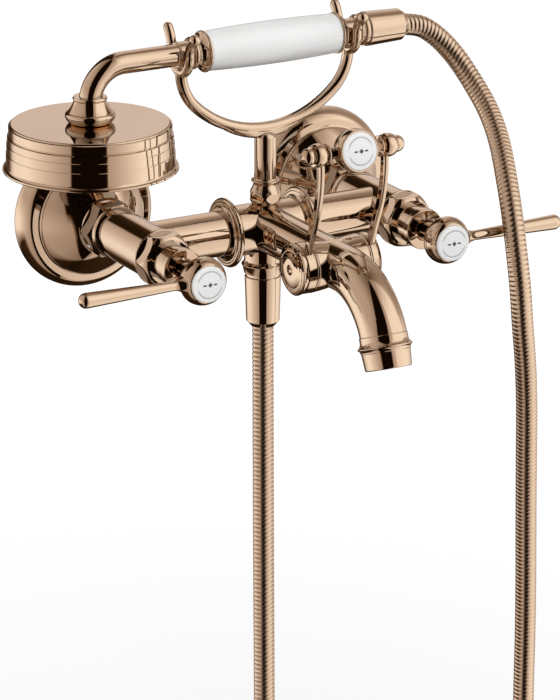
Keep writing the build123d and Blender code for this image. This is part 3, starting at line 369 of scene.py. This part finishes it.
def wound_tube(name, points):
    """A tube whose wall is one metal strip wound in a helix, as a shower hose is."""
    length = line_length(points)
    turns = int(length / HOSE_PITCH)
    spots = [(turn + place) * length / turns for turn in range(turns) for place, _ in HOSE_PROFILE]
    spots.append(length)
    rings = stations(points, spots)
    side = rings[0][1].orthogonal().normalized()
    verts = []
    for spot, (place, along) in zip(spots, rings):
        side = (side - along * side.dot(along)).normalized()
        other = along.cross(side)
        for step in range(HOSE_SIDES):
            angle = 2 * math.pi * step / HOSE_SIDES
            phase = (spot * turns / length - step / HOSE_SIDES) % 1.0
            radius = HOSE_RADIUS - HOSE_GROOVE * (1 - strip_height(phase))
            verts.append(place + side * (radius * math.cos(angle)) + other * (radius * math.sin(angle)))
    faces = []
    for ring in range(len(spots) - 1):
        for step in range(HOSE_SIDES):
            near = ring * HOSE_SIDES
            far = near + HOSE_SIDES
            after = (step + 1) % HOSE_SIDES
            faces.append((near + step, near + after, far + after, far + step))
    faces.append(tuple(reversed(range(HOSE_SIDES))))
    faces.append(tuple(range(len(verts) - HOSE_SIDES, len(verts))))
    return add_mesh(name, verts, faces)


def strip_height(phase):
    """Height of the wound strip across one turn, from 0 in the groove to 1 on the crest."""
    stops = HOSE_PROFILE + ((1.0, HOSE_PROFILE[0][1]),)
    for (a, low), (b, high) in zip(stops, stops[1:]):
        if a <= phase <= b:
            return low + (high - low) * (phase - a) / (b - a)
    return 0.0


def add_hose():
    points = smooth_line("hose_line", HOSE_ROUTE, HOSE_STEPS)
    hose = wound_tube("shower_hose", points)
    paint(hose, finishes["hose_strip"])
    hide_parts("hose")
    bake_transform(hose)


# Studio light by azimuth, as polished metal shows it: 0 is the front, 90 the object's right.
# The first row is the light at eye level, the second from 14 degrees up, the third from 34 down.
STUDIO_LOW = (
    (-180, 0.05), (-170, 0.10), (-160, 0.75), (-150, 0.95), (-124, 1.0), (-100, 0.78), (-84, 0.62),
    (-58, 0.39), (-54.5, 0.37), (-53, 0.0), (-4.5, 0.0), (-3, 0.44), (7, 0.5), (29, 0.75), (51, 1.0),
    (83, 1.0), (100, 0.8), (120, 0.5), (150, 0.35), (165, 0.10), (180, 0.05),
)
STUDIO_HIGH = (
    (-180, 0.01), (-165, 0.01), (-162, 0.40), (-150, 0.62), (-130, 0.50), (-84, 0.45), (-66, 0.35),
    (-58, 0.28), (-56.5, 0.0), (-3.5, 0.0), (-2, 0.40), (10, 0.5), (20, 0.95), (75, 0.97), (90, 0.38),
    (110, 0.26), (135, 0.40), (146, 0.66), (157, 0.63), (165, 0.03), (180, 0.01),
)
STUDIO_UNDER = (
    (-180, 0.01), (-100, 0.03), (-80, 0.45), (-54.5, 0.36), (-53, 0.0), (-4.5, 0.0), (-3, 0.44),
    (7, 0.5), (29, 0.75), (51, 1.0), (86, 0.9), (98, 0.03), (180, 0.01),
)
# The elevations over which the light turns from the first row to another
STUDIO_TURNS = ((-8, 14, STUDIO_HIGH), (-20, -34, STUDIO_UNDER))
# A factor on the rows by elevation
STUDIO_LIFT = (
    (-90, 0.42), (-60, 0.85), (-30, 1.0), (0, 1.0), (40, 1.0), (58, 0.75), (75, 0.40), (90, 0.25),
)
# The colour of each brightness
STUDIO_TONE = (
    (0.0, (0.006, 0.003, 0.001)), (0.05, (0.065, 0.037, 0.018)), (0.12, (0.150, 0.108, 0.078)),
    (0.36, (0.393, 0.334, 0.306)), (0.65, (0.674, 0.625, 0.610)), (1.0, (1.0, 1.0, 1.0)),
)
# The tent as it looks after a first reflection in the part itself
STUDIO_SECOND = (0.51, 0.61, 0.74)
# The plain light on everything that isn't polished
STUDIO_PLAIN = (0.46, 0.46, 0.46)
WHITE = (1.0, 1.0, 1.0)


def ramp_of(tree, source, stops):
    """A colour ramp with the given stops, each a place from 0 to 1 and a colour."""
    ramp = tree.nodes.new("ShaderNodeValToRGB")
    places = ramp.color_ramp.elements
    for place, _ in stops[1:-1]:
        places.new(place)
    for stop, (_, colour) in zip(places, stops):
        stop.color = (*colour, 1.0)
    tree.links.new(source, ramp.inputs["Fac"])
    return ramp.outputs["Color"]


def level_by_angle(tree, source, stops):
    """Brightness read from a few stops along an angle, the first and last stop its whole range."""
    low, high = stops[0][0], stops[-1][0]
    share = remap_of(tree, source, math.radians(low), math.radians(high))
    return ramp_of(tree, share, [((angle - low) / (high - low), (level,) * 3) for angle, level in stops])


def add_world():
    """White to the camera. To polished metal, a tent with bright sides and a dark gap at the camera."""
    world = bpy.data.worlds.new("studio")
    scene.world = world
    world.use_nodes = True
    tree = world.node_tree
    split = tree.nodes.new("ShaderNodeSeparateXYZ")
    tree.links.new(tree.nodes.new("ShaderNodeTexCoord").outputs["Generated"], split.inputs["Vector"])
    front = math_of(tree, "MULTIPLY", split.outputs["Y"], -1.0)
    around = math_of(tree, "ARCTAN2", split.outputs["X"], front)
    above = math_of(tree, "ARCSINE", split.outputs["Z"])
    turn = level_by_angle(tree, around, STUDIO_LOW)
    for start, end, stops in STUDIO_TURNS:
        share = remap_of(tree, above, math.radians(start), math.radians(end))
        turn = mix_of(tree, share, turn, level_by_angle(tree, around, stops))
    lift = level_by_angle(tree, above, STUDIO_LIFT)
    path = tree.nodes.new("ShaderNodeLightPath")
    again = math_of(tree, "SUBTRACT", path.outputs["Ray Depth"], 2.0)
    tent = ramp_of(tree, math_of(tree, "MULTIPLY", turn, lift), STUDIO_TONE)
    fade = mix_of(tree, again, WHITE, STUDIO_SECOND)
    dimmed = tree.nodes.new("ShaderNodeVectorMath")
    dimmed.operation = "MULTIPLY"
    tree.links.new(tent, dimmed.inputs[0])
    tree.links.new(fade, dimmed.inputs[1])
    clear = math_of(tree, "MAXIMUM", path.outputs["Is Camera Ray"], path.outputs["Is Transmission Ray"])
    lit = mix_of(tree, path.outputs["Is Glossy Ray"], STUDIO_PLAIN, dimmed.outputs[0])
    tree.links.new(mix_of(tree, clear, lit, WHITE), tree.nodes["Background"].inputs["Color"])


def add_lamp(name, place, target, size, power):
    data = bpy.data.lights.new(name, "AREA")
    data.shape = "RECTANGLE"
    data.size, data.size_y = size
    data.energy = power
    lamp = bpy.data.objects.new(name, data)
    lamp.location = place
    lamp.rotation_euler = (Vector(target) - Vector(place)).to_track_quat("-Z", "Y").to_euler()
    lamp.visible_glossy = False
    scene.collection.objects.link(lamp)
    return lamp


FLOOR_HALF = 4.0
FLOOR_LEVEL = -0.60
# Its own white to the camera, from the lamps' bright spot under the part to the far floor
FLOOR_GLOW = ((0.6, 0.28), (1.8, 0.58))


def add_floor():
    """Pale floor under the hose's loop, white to the camera but for the shadow on it."""
    turns = ((-1, -1), (1, -1), (1, 1), (-1, 1))
    corners = [(x * FLOOR_HALF, y * FLOOR_HALF, FLOOR_LEVEL) for x, y in turns]
    floor = add_mesh("floor", corners, [(0, 1, 2, 3)], False)
    graph = Graph("floor_white")
    graph.shader.inputs["Base Color"].default_value = (0.9, 0.9, 0.9, 1.0)
    graph.shader.inputs["Roughness"].default_value = 1.0
    graph.shader.inputs["Specular IOR Level"].default_value = 0.0
    graph.shader.inputs["Emission Color"].default_value = (*WHITE, 1.0)
    away = graph.add("ShaderNodeVectorMath", operation="LENGTH")
    graph.link(graph.add("ShaderNodeTexCoord").outputs["Object"], away.inputs[0])
    (near, low), (far, high) = FLOOR_GLOW
    glow = remap_of(graph.tree, away.outputs["Value"], near, far, low, high)
    seen = graph.add("ShaderNodeLightPath").outputs["Is Camera Ray"]
    graph.link(graph.math("MULTIPLY", seen, glow), graph.shader.inputs["Emission Strength"])
    paint(floor, graph.material)
    floor.visible_glossy = False


add_camera()
dress_nodes()
add_hose()
add_world()
add_floor()
centre = (0.0, -0.08, 0.0)
add_lamp("key", (-1.0, -1.4, 1.6), centre, (1.2, 1.2), 26.0)
add_lamp("fill", (1.6, -1.2, 0.6), centre, (0.8, 1.6), 10.0)

scene.view_settings.view_transform = "Standard"
